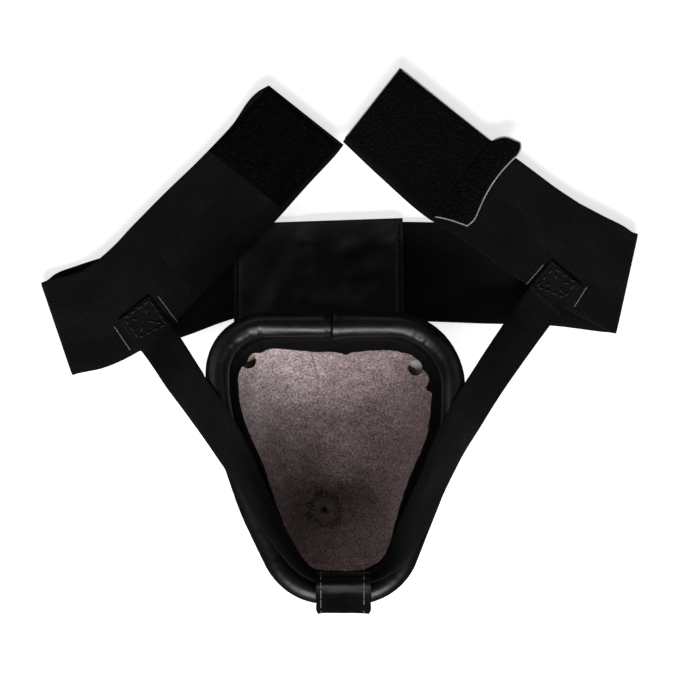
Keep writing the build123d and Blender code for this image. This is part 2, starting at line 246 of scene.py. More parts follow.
# ---- materials
MIX_FIRST, MIX_SECOND, MIX_COLOR = 6, 7, 2  # a Mix node's sockets for colours
WAVE = math.pi / 10  # the wave texture's period at a scale of 1


def per_mm(period):
    """Texture scale, in object metres, for a feature of a size in millimetres."""
    return 1 / (period * MM)


def rgba(color):
    """A colour's four values, from three or from one grey."""
    return (*color, 1) if isinstance(color, tuple) else (color, color, color, 1)


class Look:
    """A Principled material, and short ways to add nodes. A value that is a socket is linked, not set."""

    def __init__(self, name, color, roughness, specular=0.5, coordinates="Object"):
        self.mat = bpy.data.materials.new(name)
        self.mat.use_nodes = True
        self.tree = self.mat.node_tree
        self.shader = self.tree.nodes["Principled BSDF"]
        self.fill(self.shader, {"Base Color": rgba(color), "Roughness": roughness,
                                "Specular IOR Level": specular})
        self.source = self.tree.nodes.new("ShaderNodeTexCoord").outputs[coordinates]

    def fill(self, node, values):
        for key, value in values.items():
            if isinstance(value, bpy.types.NodeSocket):
                self.tree.links.new(value, node.inputs[key])
            else:
                node.inputs[key].default_value = value

    def add(self, kind, values, output=0, **settings):
        node = self.tree.nodes.new("ShaderNode" + kind)
        for key, value in settings.items():
            setattr(node, key, value)
        self.fill(node, values)
        return node.outputs[output]

    def sheen(self, weight, roughness, tint):
        self.fill(self.shader, {"Sheen Weight": weight, "Sheen Roughness": roughness,
                                "Sheen Tint": rgba(tint)})

    def texture(self, kind, scale, values, output=0, **settings):
        scale = scale if isinstance(scale, tuple) else (scale,) * 3
        place = self.add("Mapping", {"Vector": self.source, "Scale": scale})
        return self.add("Tex" + kind, {"Vector": place, "Scale": 1.0, **values}, output, **settings)

    def noise(self, scale, detail=3, roughness=0.55, distortion=0.0):
        return self.texture("Noise", scale, {"Detail": detail, "Roughness": roughness,
                                             "Distortion": distortion})

    def waves(self, scale, direction):
        return self.texture("Wave", scale, {}, "Fac", bands_direction=direction)

    def ramp(self, value, stops):
        node = self.tree.nodes.new("ShaderNodeValToRGB")
        elements = node.color_ramp.elements
        for element, (place, color) in zip(elements, (stops[0], stops[-1])):
            element.position = place
            element.color = rgba(color)
        for place, color in stops[1:-1]:
            elements.new(place).color = rgba(color)
        self.fill(node, {"Fac": value})
        return node.outputs["Color"]

    def spread(self, value, low, high, out_low, out_high):
        return self.add("MapRange", {"Value": value, "From Min": low, "From Max": high, "To Min": out_low,
                                     "To Max": out_high})

    def times(self, color, other, factor):
        """A colour multiplied by another one, by as much as factor says."""
        return self.add("Mix", {"Factor": factor, MIX_FIRST: color, MIX_SECOND: other}, MIX_COLOR,
                        data_type="RGBA", blend_type="MULTIPLY")

    def math(self, operation, a, b=0):
        return self.add("Math", {0: a, 1: b}, operation=operation)

    def off_middle(self, value, size):
        """A noise value from 0 to 1 as a swing of a size either side of nothing."""
        return self.math("MULTIPLY", self.math("SUBTRACT", value, 0.5), size)

    def finish(self, color, bumps, roughness=None):
        """Link the colour, the roughness and a chain of bumps (height, distance in mm, strength)."""
        normal = {}
        for height, distance, strength in bumps:
            values = {"Distance": distance * MM, "Strength": strength, "Height": height, **normal}
            normal = {"Normal": self.add("Bump", values)}
        rough = {} if roughness is None else {"Roughness": roughness}
        self.fill(self.shader, {"Base Color": color, **rough, **normal})
        return self.mat


def elastic_material(name, color, thread, rib):
    """Knitted elastic: fine threads across the ribs, lint and slight fading. UVs are in millimetres."""
    look = Look(name, color, 0.85, 0.06, "UV")
    look.sheen(0.015, 0.5, (0.8, 0.8, 0.85))
    ribs = look.waves((WAVE / rib, 0.0, 0.0), "X")
    threads = look.waves((0.0, WAVE / thread, 0.0), "Y")
    fuzz = look.noise(0.85, 4, 0.8)
    patches = look.noise((0.05, 0.02, 0.05))
    weave = look.math("MULTIPLY", ribs, threads)
    tone = look.math("ADD", look.spread(weave, 0, 1, 0.62, 1.22), look.spread(fuzz, 0.3, 0.7, -0.55, 0.65))
    tone = look.math("MULTIPLY", tone, look.spread(patches, 0.3, 0.7, 0.7, 1.3))
    dark, light = (tuple(c * share for c in color) for share in (0.2, 2.8))
    faded = look.ramp(look.spread(tone, 0.2, 2.0, 0, 1), [(0, dark), (0.45, color), (1, light)])
    return look.finish(faded, [(weave, 0.18, 0.8), (fuzz, 0.15, 0.5)])


def leather_material(name, color, roughness, grain, specular=0.5, relief=1.0):
    """Finished leather: pebbled grain, pores, soft creases and slight scuffs."""
    look = Look(name, color, roughness, specular)
    pebbles = look.texture("Voronoi", per_mm(grain), {}, feature="SMOOTH_F1")
    pores = look.noise(per_mm(0.35), 2, 0.6)
    folds = look.noise(per_mm(9.0), 4, 0.6, 0.6)
    scuffs = look.noise(per_mm(22.0), 6, 0.7)
    warm = tuple(c * 1.9 + 0.002 for c in color)
    dull = look.math("ADD", look.math("MULTIPLY", scuffs, 0.7), look.math("MULTIPLY", pores, 0.3))
    return look.finish(look.ramp(scuffs, [(0.35, color), (0.75, warm)]),
                       [(folds, 0.8, 0.25), (pebbles, 0.22 * relief, 0.35), (pores, 0.08 * relief, 0.4)],
                       look.spread(dull, 0.3, 0.7, roughness - 0.07, roughness + 0.12))


def suede_material(name):
    """Mauve-grey suede: mottled nap, pores and brushed patches, with a worn ring and a thin crease, and
    painted light and shade across the bowl.
    """
    look = Look(name, (0.16, 0.118, 0.118), 0.9, 0.2)
    look.sheen(0.1, 0.45, (0.85, 0.78, 0.78))
    big = look.noise(per_mm(30.0), 5, 0.62, 0.8)
    brushed = look.noise((per_mm(7.0), per_mm(4.0), per_mm(7.0)), 5, 0.7, 0.5)
    nap = look.noise(per_mm(1.25), 5, 0.85)
    flecks = look.noise((per_mm(1.3), per_mm(0.8), per_mm(1.3)), 3, 0.7, 0.4)
    pores = look.texture("Voronoi", per_mm(4.2), {})
    # painted light and shade: paler towards the top-left, where the bowl's wall faces the key light, and
    # paler at the chin end to lift its shade; darker between
    x, y = (look.add("SeparateXYZ", {"Vector": look.source}, axis) for axis in "XY")
    slant = look.math("ADD", y, look.math("MULTIPLY", x, -0.85))
    height = look.spread(look.math("ADD", slant, look.off_middle(big, 0.03)), -0.14, 0.01, 0, 1)
    # the ring and the dark spot in its middle
    flat = look.add("VectorMath", {0: look.source, 1: (1, 1, 0)}, operation="MULTIPLY")
    away = look.add("VectorMath", {0: flat, 1: (RING_MARK[0] * MM, RING_MARK[1] * MM, 0)}, "Value",
                    operation="DISTANCE")
    jitter = look.off_middle(brushed, 0.010)
    spot = look.math("ADD", away, look.math("MULTIPLY", jitter, 0.25))
    ring = look.math("ABSOLUTE", look.math("ADD", look.math("SUBTRACT", away, 9.2 * MM), jitter))
    ring = look.math("MULTIPLY", look.spread(ring, 0, 3.6 * MM, 1, 0), look.spread(nap, 0.44, 0.58, 1, 0.15))
    # the crease, a short slanted line
    middle = (CREASE_MARK[0] * MM, CREASE_MARK[1] * MM, 0)
    turned = look.add("VectorRotate", {"Vector": look.source, "Center": middle, "Angle": -0.226},
                      rotation_type="Z_AXIS")
    x, y = (look.add("SeparateXYZ", {"Vector": turned}, axis) for axis in "XY")
    off = look.math("ADD", look.math("SUBTRACT", x, middle[0]), look.off_middle(brushed, 0.006))
    off = look.spread(look.math("ABSOLUTE", off), 0, 0.7 * MM, 0, 1)
    end = look.math("ABSOLUTE", look.math("SUBTRACT", y, middle[1]))
    line = look.math("MAXIMUM", off, look.spread(end, 7 * MM, 9.5 * MM, 0, 1))
    tone = look.ramp(big, [(0.3, (0.135, 0.103, 0.101)), (0.5, (0.158, 0.121, 0.119)),
                           (0.72, (0.19, 0.149, 0.145))])
    # the first ramp is the painted light and shade; the others are the suede's own tone and marks
    for value, factor, stops in (
            (height, 1.0, [(0.0, (2.3, 2.2, 2.15)), (0.28, (1.35, 1.3, 1.28)), (0.55, (1.05, 1.04, 1.04)),
                           (0.8, (1.65, 1.72, 1.74)), (1.0, (2.55, 2.8, 2.9))]),
            (brushed, 0.75, [(0.3, (0.6, 0.59, 0.58)), (0.5, 0.95), (0.72, (1.4, 1.38, 1.36))]),
            (nap, 0.9, [(0.34, (0.25, 0.24, 0.24)), (0.5, 1.0), (0.66, (2.0, 1.98, 1.96))]),
            (flecks, 0.95, [(0.36, (0.3, 0.28, 0.28)), (0.5, 1.06)]),
            (pores, 0.55, [(0.04, (0.25, 0.2, 0.2)), (0.13, 1.0)]),
            (look.spread(spot, 1.0 * MM, 3.0 * MM, 0, 1), 1.0, [(0.0, (0.06, 0.05, 0.05)), (1.0, 1.0)]),
            (ring, 1.0, [(0.0, 1.0), (0.75, (0.2, 0.19, 0.19))]),
            (line, 1.0, [(0.0, 0.35), (1.0, 1.0)])):
        tone = look.times(tone, look.ramp(value, stops), factor)
    return look.finish(tone, [(brushed, 0.6, 0.4), (nap, 0.3, 0.7)])


def plain_material(name, color, roughness, grain, depth, specular=0.4):
    """Simple procedural material: tone noise and fine bump."""
    look = Look(name, color, roughness, specular)
    tone = look.noise(per_mm(grain * 6), 4)
    fine = look.noise(per_mm(grain), 3, 0.65)
    dark, light = (tuple(min(1, c * share) for c in color) for share in (0.7, 1.3))
    mottle = look.math("ADD", look.math("MULTIPLY", tone, 0.6), look.math("MULTIPLY", fine, 0.4))
    return look.finish(look.ramp(mottle, [(0.35, dark), (0.65, light)]), [(fine, depth, 0.5)],
                       look.spread(fine, 0.3, 0.7, roughness - 0.08, roughness + 0.08))


BAND = elastic_material("band elastic", (0.0092, 0.0088, 0.0090), 0.7, 1.5)
STRAP = elastic_material("strap elastic", (0.0105, 0.0102, 0.0104), 0.6, 1.0)
LEATHER = leather_material("rim leather", (0.0028, 0.0023, 0.0026), 0.35, 0.9, 0.42, 0.4)
KEEPER = leather_material("keeper leather", (0.0018, 0.0015, 0.0017), 0.33, 0.9, 0.09, 0.5)
# black leather made near black and dull: painted shade for the dark crevice under the roll and for the roll's
# seam
PAINTED_SHADE_LEATHER = leather_material("rim edge leather in painted shade", (0.0012, 0.001, 0.0012), 0.6, 0.7, 0.06)
SLEEVE = leather_material("sleeve leather", (0.0086, 0.0080, 0.0083), 0.42, 1.1, 0.45, 0.6)
COVER = leather_material("cover leather", (0.005, 0.0045, 0.0048), 0.4, 1.2)
FLESH = plain_material("leather flesh side", (0.30, 0.28, 0.235), 0.9, 0.5, 0.15, 0.2)
SUEDE = suede_material("suede lining")
PILE_BASE = plain_material("loop tape ground", (0.0022, 0.0022, 0.0023), 0.95, 0.5, 0.3, 0.03)
PILE = plain_material("loop pile", (0.0045, 0.0045, 0.0047), 0.75, 0.6, 0.1, 0.12)
HOOK_BASE = plain_material("hook tape ground", (0.0026, 0.0026, 0.0028), 0.9, 0.4, 0.2, 0.08)
HOOKS = plain_material("hooks", (0.006, 0.006, 0.0062), 0.55, 0.4, 0.05, 0.25)
THREAD = plain_material("dark thread", (0.010, 0.0095, 0.010), 0.6, 0.25, 0.06, 0.4)
TAPE_THREAD = plain_material("tape thread", (0.003, 0.003, 0.003), 0.8, 0.25, 0.06, 0.1)
KEEPER_THREAD = plain_material("keeper thread", (0.13, 0.125, 0.125), 0.6, 0.25, 0.06, 0.4)
PALE_THREAD = plain_material("pale thread", (0.34, 0.34, 0.33), 0.7, 0.25, 0.06, 0.3)
RAW_EDGE = plain_material("raw edge", (0.05, 0.048, 0.047), 0.85, 0.4, 0.1, 0.2)
PALE_EDGE = plain_material("pale cut edge", (0.42, 0.41, 0.40), 0.85, 0.4, 0.1, 0.2)
SHELL_PAINT = plain_material("shell finish", (0.31, 0.295, 0.23), 0.55, 0.6, 0.05, 0.4)
FOAM = plain_material("foam", (0.45, 0.43, 0.36), 0.95, 0.8, 0.4, 0.2)


# ---- the lie of the arms
def off_line(x, y, line):
    """Distance from a line of the plan."""
    (x0, y0), (x1, y1) = line
    length = math.hypot(x1 - x0, y1 - y0)
    return np.abs((x - x0) * (y1 - y0) - (y - y0) * (x1 - x0)) / length


def lift(x, y):
    """How far the folded arms stand above flat. It is nothing at the folds and at the end hinges."""
    free = np.ones_like(np.asarray(x, float))
    for line in (LEFT_FOLD, RIGHT_FOLD):
        free = free * smoothstep(2, 34, off_line(x, y, line))
    left, right = (smoothstep(4, 22, off_line(x, y, line)) for line in (LEFT_HINGE, RIGHT_HINGE))
    free = free * np.where(np.asarray(x) < BETWEEN_TIPS, left, right)
    wave = 0.5 + 0.5 * np.sin(np.asarray(x) * 0.052 + np.asarray(y) * 0.041 + 0.8)
    return free * (0.15 + 0.75 * wave)


def lifted(grid, share=1.0):
    """A grid of points on the arms, moved up with them."""
    out = np.array(grid, float)
    out[..., 2] += share * lift(out[..., 0], out[..., 1])
    return out


# ---- waist band
BAND_WIDTH = 60.0
RIBS = 40
RIB_DEPTH = 0.22


def rib_profile(half):
    """Half thickness across the band: ribs that run along it, and rounded edges."""
    across = 3 * RIBS + 1
    u = np.linspace(0, 1, across)
    wave = np.where(np.arange(across) % 3 == 0, 0.0, 1.0)
    edge = np.sqrt(np.clip(1 - np.abs(2 * u - 1) ** 40, 0.12, 1))
    return u, (half - RIB_DEPTH + RIB_DEPTH * wave) * edge


def band_surface(rows, count, u):
    """Middle surface of the band from rows of (upper edge, lower edge) points."""
    edges = smooth_through(rows, count)
    return ruled(edges[:, 0], edges[:, 1], u)


def fold_rows(line, outward_dir):
    """The U-turn at a fold, from the back layer up to the arm."""
    rows = []
    for k in range(1, 12):
        angle = math.radians(-90 + 15 * k)
        reach = FOLD_RADIUS * math.cos(angle)
        level = FOLD_LEVEL + FOLD_RADIUS * math.sin(angle)
        rows.append([(x + outward_dir[0] * reach, y + outward_dir[1] * reach, level) for x, y in line])
    return rows


def at_level(rows, level):
    return [[(x, y, level) for x, y in row] for row in rows]


LEFT_OUT = (-0.9447, -0.3280)
RIGHT_OUT = (0.9766, -0.2149)
LEFT_BACK = [[(-12.0, 70.9), (-12.0, 13.9)], [(-61.0, 69.9), (-55.2, 15.3)], [(-105, 60.0), (-93.6, 2.7)],
             [(-140, 51.0), (-127, -8.5)], [(-158, 45.2), (-143, -14.3)], [(-170, 40.6), (-152.5, -17.6)]]
LEFT_ARM = [[(-170.6, 37.6), (-152.4, -18.4)], [(-162, 39.6), (-142, -16.2)], [(-152, 43.2), (-126, -9.5)],
            [(-143, 50.0), (-110.5, 0.5)], [(-134, 58.2), (-96.5, 13.5)], [(-124.5, 68.5), (-82.6, 27.6)]]
LEFT_TIP = [[(-124.5, 68.5), (-82.6, 27.6)], [(-105.5, 87.8), (-62.5, 48.0)], [(-84.2, 108.4), (-39.6, 70.4)],
            [(-64.8, 128.7), (-19.0, 93.3)], [(-46.2, 151.2), (1.0, 115.2)], [(-42.0, 153.4), (2.9, 117.8)]]
RIGHT_BACK = [[(-12.0, 70.9), (-12.0, 13.9)], [(39.6, 71.8), (39.6, 12.4)], [(80, 70.6), (84, 10.8)],
              [(140, 67.0), (132, 9.0)], [(171, 65.2), (158.8, 5.6)]]
RIGHT_ARM = [[(171.4, 68.6), (158.2, 7.9)], [(158.4, 75.2), (143.0, 15.6)], [(143.8, 82.9), (124.0, 26.2)]]
RIGHT_TIP = [[(143.8, 82.9), (124.0, 26.2)], [(129.7, 92.3), (100.8, 42.0)], [(116.2, 102.4), (79.3, 56.9)],
             [(104.0, 111.4), (65.6, 65.8)], [(91.2, 120.6), (52.6, 74.2)], [(64.0, 142.3), (26.6, 96.6)],
             [(38.0, 163.2), (2.2, 119.6)]]


def waist_band():
    """The band in four pieces: each side's back layer, fold and arm, and each side's arm and end."""
    u, half = rib_profile(BAND_THICK / 2)
    for side, flip, back, fold, out, arm, tip, hinge in (
            ("left", 1, LEFT_BACK, LEFT_FOLD, LEFT_OUT, LEFT_ARM, LEFT_TIP, LEFT_HINGE),
            ("right", -1, RIGHT_BACK, RIGHT_FOLD, RIGHT_OUT, RIGHT_ARM, RIGHT_TIP, RIGHT_HINGE)):
        rows = at_level(back + [fold], BACK_MIDDLE) + fold_rows(fold, out)
        rows += at_level([fold] + arm, ARM_MIDDLE)
        lower = band_surface(rows, 210, u)
        lower = lifted(lower, smoothstep(ARM_MIDDLE - 0.05, ARM_MIDDLE, lower[..., 2]))
        piece = ribbon(side + "_band", lower, half, BAND, BAND_WIDTH, up=-flip)
        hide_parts("waist_band_center", side + "_band_fold", side + "_band_arm")
        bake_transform(piece)
        upper = lifted(band_surface(at_level(tip, ARM_MIDDLE), 120, u))
        piece = ribbon(side + "_band_tip", upper, half, BAND, BAND_WIDTH, up=flip)
        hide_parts(side + "_band_end", side + "_band_arm")
        hinge_blend(piece)


def hinge_blend(piece):
    """Bake a piece of the band's placement into its mesh."""
    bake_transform(piece)


# ---- cup surfaces
AROUND = 300
RIM = rounded_outline(RIM_CORNERS, RIM_RADII, AROUND)
RIM_TANGENT = unit(np.roll(RIM, -1, axis=0) - np.roll(RIM, 1, axis=0))
RIM_INWARD = np.stack([-RIM_TANGENT[:, 1], RIM_TANGENT[:, 0]], axis=1)
if (RIM_INWARD[0] @ (CUP_CENTER - RIM[0])) < 0:
    RIM_INWARD = -RIM_INWARD


def dome_profile(depth, count=60):
    """Radius and level of the dome's wall at a depth under its outer face, from the edge to the pole."""
    places = [(scale * MEAN_RADIUS, level) for scale, level in DOME_PROFILE] + [(0.0, 0.1)]
    line = smooth_through(places, count)
    slope = unit(np.gradient(line, axis=0))
    inner = line + depth * np.stack([slope[:, 1], -slope[:, 0]], axis=1)
    inner[-1, 0] = 0
    inner[:, 0] = np.maximum(inner[:, 0], 0.0)
    return inner


def dome_grid(depth, edge_level, rings=46):
    """Grid of points on a wall of the cup: the rim's outline, scaled ring by ring down to the pole."""
    profile = dome_profile(depth, 200)
    kept = profile[int(np.argmax(profile[:, 1] <= edge_level)):]
    at = run_along(kept)
    even = np.linspace(0, at[-1], rings)
    radius, level = np.interp(even, at, kept[:, 0]), np.interp(even, at, kept[:, 1])
    level[0] = edge_level
    radius[-1] = 0.6
    scaled = CUP_CENTER + (RIM[:, None] - CUP_CENTER) * (radius / MEAN_RADIUS)[None, :, None]
    return np.concatenate([scaled, np.broadcast_to(level, (AROUND, rings))[..., None]], axis=-1)


def bowl(name, inner, outer, materials, outer_material=0):
    """Closed bowl between two dome grids, whose last ring closes on one point."""
    around, rings = inner.shape[:2]
    count = around * rings
    verts = np.concatenate([inner.reshape(-1, 3), outer.reshape(-1, 3), inner[:, -1].mean(0)[None],
                            outer[:, -1].mean(0)[None]])
    index = np.arange(count).reshape(around, rings)
    following = np.roll(index, -1, axis=0)
    faces = [*quads(around, rings, wrap_rows=True)]
    faces += [*quads(around, rings, wrap_rows=True, first=count, flip=True)]
    which = np.repeat([0, outer_material], len(faces) // 2).tolist() + [outer_material] * around
    faces += [[a, a + count, b + count, b] for a, b in zip(index[:, 0], following[:, 0])]
    for a, b in zip(index[:, -1], following[:, -1]):
        faces += [[a, 2 * count, b], [a + count, b + count, 2 * count + 1]]
        which += [0, outer_material]
    obj = make_object(name, verts, faces, materials, face_material=which)
    outward(obj)
    return obj


def cut_vents(obj):
    """Cut the two round holes straight down through a wall."""
    for x, y in VENTS:
        bpy.ops.mesh.primitive_cylinder_add(vertices=48, radius=VENT_RADIUS * MM, depth=60 * MM,
                                            location=(x * MM, y * MM, 30 * MM))
        tool = bpy.context.object
        cut = obj.modifiers.new("vent", "BOOLEAN")
        cut.operation = "DIFFERENCE"
        cut.solver = "EXACT"
        cut.object = tool
        graph = bpy.context.evaluated_depsgraph_get()
        mesh = bpy.data.meshes.new_from_object(obj.evaluated_get(graph))
        obj.modifiers.clear()
        obj.data = mesh
        bpy.data.objects.remove(tool)


def suede_lining():
    """Suede skin inside the cup, slightly uneven over the padding."""
    face = dome_grid(LINING_FACE, SHELL_EDGE_LEVEL)
    back = dome_grid(LINING_DEPTH, SHELL_EDGE_LEVEL)
    uneven = 0.55 * wobble(face, 24.0, 3.0) + 0.2 * wobble(face, 7.0, 9.0)
    away = np.hypot(face[..., 0] - RING_MARK[0], face[..., 1] - RING_MARK[1])
    dents = -0.7 * np.exp(-(away / 1.6) ** 2) - 0.25 * np.exp(-((away - 9.0) / 1.5) ** 2)
    face[..., 2] += (uneven + dents) * smoothstep(3, 8, np.arange(face.shape[1]))
    obj = bowl("suede_lining_skin", face, back, [SUEDE])
    cut_vents(obj)
    obj.data.set_sharp_from_angle(angle=math.radians(40))
    ride(obj, "suede", "cup", "suede_lining")


def outer_cover():
    """Leather over the dome. Its flesh side faces the shell."""
    outer = dome_grid(0.0, SHELL_EDGE_LEVEL + 0.6)
    inner = dome_grid(COVER_THICK, SHELL_EDGE_LEVEL + 0.6)
    gather = 0.35 * wobble(outer * np.array([1, 1, 0.25]), 5.0, 5.0)
    fade = np.exp(-np.arange(outer.shape[1]) / 7.0)[None, :]
    outward_dir = np.concatenate([-RIM_INWARD, np.zeros((AROUND, 1))], axis=1)[:, None]
    outer = outer + outward_dir * (gather * fade)[..., None]
    outer[..., 2] = np.maximum(outer[..., 2] + 0.25 * wobble(outer, 20.0, 2.0), 0.05)
    obj = bowl("outer_cover_leather", inner, outer, [FLESH, COVER], outer_material=1)
    ride(obj, "black_leather", "cup", "outer_cover")


SEAM_X = -4.6


def rim_roll():
    """Leather round the foam roll. Its two ends overlap at the top, the right one over the left."""
    top = [i for i in range(AROUND) if RIM[i, 1] > 9.9]
    seam = min(top, key=lambda i: abs(RIM[i, 0] - SEAM_X))
    way = 1 if RIM[(seam + 1) % AROUND, 0] > RIM[seam, 0] else -1
    steps = 2 * AROUND + 12
    along = seam + way * np.arange(steps) / 2
    low = np.floor(along).astype(int) % AROUND
    part = (along % 1)[:, None]
    center, inward = (line[low] * (1 - part) + line[(low + 1) % AROUND] * part for line in (RIM, RIM_INWARD))
    path = run_along(center)
    x, y = center[:, :1], center[:, 1:]
    sides = 56
    angle = np.linspace(0, 2 * math.pi, sides, endpoint=False)
    cos, sin = np.cos(angle), np.sin(angle)

    def folds(length, share, seed):
        """Noise over the roll: folds of a length along it, with a share of change round it."""
        places = np.broadcast_arrays(path[:, None] / length, share * cos, share * sin)
        return wobble(np.stack(places, axis=-1), 1.0, seed)

    far = np.arange(steps) / 2
    under = steps / 2 - 6.3
    raised = np.exp(-(far / 8.0) ** 2) + 0.6 * np.exp(-(far / 3.0) ** 2)
    base = ROLL_RADIUS - 0.2 + raised - 0.95 * smoothstep(under - 3.2, under + 0.1, far)
    corners = np.exp(-(y / 16) ** 2) * smoothstep(30, 52, np.abs(x))
    inside = np.clip(cos, 0, 1)
    radius = base[:, None] + 0.55 * folds(26, 1.9, 4.0) * (0.25 + 0.75 * corners)
    radius += folds(3.2, 0.5, 8.0) * (0.08 + 0.3 * corners * inside)
    radius += 0.9 * np.clip(-sin, 0, 1) * inside * folds(2.0, 0.5, 12.0)
    radius -= 0.5 * smoothstep(40, 62, np.abs(x)) * np.clip(-cos, 0, 1) * (y > -30)
    for pleat_x, depth in ((-47.0, 0.75), (-53.0, 0.6), (52.0, 0.6)):
        radius -= depth * np.exp(-((x - pleat_x) / 1.1) ** 2) * (y > -3) * inside ** 1.5
    spokes = np.empty((steps, sides, 3))
    spokes[..., :2] = inward[:, None] * cos[:, None]
    spokes[..., 2] = sin
    ring = spokes * radius[..., None]
    ring += np.concatenate([center, np.full((steps, 1), ROLL_LEVEL)], axis=1)[:, None]
    faces = [*quads(steps, sides, wrap_cols=True), range(sides), range((steps - 1) * sides, steps * sides)]
    # painted shade: the rows where the left end runs under the right one, the right end's first row and the
    # end caps take the near-black leather, as a dark line at the seam
    painted_seam_shade = np.repeat((np.abs(far[:-1] - under) < 0.4) | (far[:-1] < 0.4), sides)
    obj = make_object("rim_roll", ring, faces, [LEATHER, PAINTED_SHADE_LEATHER], face_material=[*painted_seam_shade, True, True], sharp=75)
    outward(obj)
    ride(obj, "black_leather", "cup", "rim_binding")


# where the strip's edge is frayed: plan place, how far it reaches in, and how wide it is
FRAYS = [(66.0, -18.5, 4.0, 3.2), (63.0, -5.0, 2.0, 3.0), (-66.0, -2.0, 1.8, 4.0), (6.0, 10.0, 1.5, 3.0),
         (-55.0, 5.0, 2.2, 2.6)]


def inner_strip():
    """The binding's inner edge, glued down on to the suede. Its edge is cut by hand and wavers."""
    index = np.arange(AROUND)
    slow, quick = ([noise.noise(Vector((i * step, row, 0.0))) for i in index]
                   for step, row in ((0.16, 2.0), (0.5, 7.0)))
    wave = np.array(slow) + 0.6 * np.array(quick)
    fade = np.minimum(1.0, np.minimum(index, AROUND - index) / 8.0)
    x, y = RIM.T
    wanted = 14.6 + 2.0 * smoothstep(2, 9, y) - 2.4 * smoothstep(-128, -144, y) + 0.5 * wave * fade
    for fray_x, fray_y, deep, wide in FRAYS:
        wanted = wanted + deep * np.exp(-(np.hypot(x - fray_x, y - fray_y) / wide) ** 2)
    cols = 9
    lip = np.array([2.2, 1.2] + [0.0] * (cols - 2))
    local = np.linalg.norm(RIM - CUP_CENTER, axis=1)
    outer, inner = (MEAN_RADIUS * (1 - width / local) for width in (5.2, wanted))
    radius = np.linspace(outer, inner, cols, axis=1)
    plan = CUP_CENTER + (RIM - CUP_CENTER)[:, None] * (radius / MEAN_RADIUS)[..., None]
    grids = []
    for depth, ceiling in ((LINING_FACE + 1.05, 0.7), (LINING_FACE + 0.05, 0.0)):
        profile = dome_profile(depth, 200)
        order = np.argsort(profile[:, 0])
        level = np.interp(radius, profile[order, 0], profile[order, 1])
        level = np.minimum(level, SHELL_EDGE_LEVEL + ceiling) + lip
        grids.append(np.concatenate([plan, level[..., None]], axis=-1))
    top, base = grids
    top[:, -1] = top[:, -1] * 0.5 + base[:, -1] * 0.5
    top[:, 2:-1, 2] += 0.4 * wobble(top[:, 2:-1], 5.0, 1.0) + 0.25 * wobble(top[:, 2:-1], 2.0, 5.0)
    # the near-black leather here is painted shade under the roll
    obj = closed_sheet("rim_inner_edge", top, base, PAINTED_SHADE_LEATHER, wrap=True, sharp=70)
    ride(obj, "black_leather", "cup", "rim_inner_strip")


# ---- leg strap
TOP = 7.4  # the strap's middle on the arms

# Along the strap, from the left tab to the right one: plan place of its middle, and across it there
# (towards the cup's middle, level) at its outer edge, middle and inner edge.
STRAP_PATH = [
    ((-122.9, 19.7), [(-11.8, TOP), (0, TOP), (11.8, TOP)]),
    ((-110.8, 4.2), [(-12.0, TOP), (0, TOP), (11.8, TOP)]),
    ((-103.6, -5.2), [(-12.0, 11.5), (0, 14.0), (11.8, 19.0)]),
    ((-92.0, -21.4), [(-12.0, 29.5), (0, 36.5), (11.4, 45.5)]),
    ((-84.8, -31.0), [(-11.6, 39.0), (0, 47.0), (10.8, 54.5)]),
    ((-79.6, -38.2), [(-11.2, 46.5), (0, 53.0), (10.6, 56.4)]),
    ((-71.0, -50.2), [(-11.0, 54.6), (0, 56.4), (10.2, 56.2)]),
    ((-61.6, -64.6), [(-10.6, 55.8), (0, 56.2), (8.6, 51.4)]),
    ((-50.6, -83.6), [(-8.9, 57.4), (-0.6, 54.8), (5.6, 43.8)]),
    ((-39.8, -103.6), [(-8.3, 58.4), (-0.8, 53.2), (4.0, 41.4)]),
    ((-30.4, -119.4), [(-6.8, 59.2), (0.0, 53.2), (2.8, 40.8)]),
    ((-20.0, -133.0), [(-5.0, 60.0), (0.4, 53.2), (1.4, 40.6)]),
    ((-8.0, -139.7), [(-3.2, 60.4), (0.5, 53.6), (0.6, 41.0)]),
    ((3.0, -140.6), [(-2.6, 60.6), (1.2, 53.8), (1.2, 41.0)]),
    ((14.0, -139.8), [(-3.2, 60.4), (0.5, 53.6), (0.6, 41.0)]),
    ((25.6, -134.0), [(-5.2, 60.0), (0.4, 53.0), (1.8, 40.8)]),
    ((34.8, -123.6), [(-7.8, 57.6), (0, 53.6), (5.0, 41.6)]),
    ((42.6, -108.8), [(-9.2, 55.0), (0, 55.4), (7.2, 46.0)]),
    ((50.4, -93.0), [(-8.9, 52.6), (0, 56.2), (8.0, 50.0)]),
    ((57.6, -77.8), [(-8.8, 51.2), (0, 56.2), (8.4, 51.2)]),
    ((65.4, -60.8), [(-9.8, 52.4), (0, 56.4), (9.8, 53.2)]),
    ((74.0, -45.4), [(-10.8, 51.8), (0, 56.0), (10.6, 56.2)]),
    ((81.0, -34.0), [(-10.9, 45.6), (0, 51.0), (10.8, 55.2)]),
    ((88.0, -23.4), [(-11.0, 37.6), (0, 43.0), (10.8, 48.0)]),
    ((98.6, -8.2), [(-11.4, 26.0), (0, 29.6), (11.2, 33.6)]),
    ((113.2, 11.8), [(-11.7, 13.0), (0, 14.2), (11.6, 15.8)]),
    ((125.6, 28.2), [(-11.8, TOP), (0, TOP), (11.8, TOP)]),
    ((136.2, 40.8), [(-11.8, TOP), (0, TOP), (11.8, TOP)]),
]


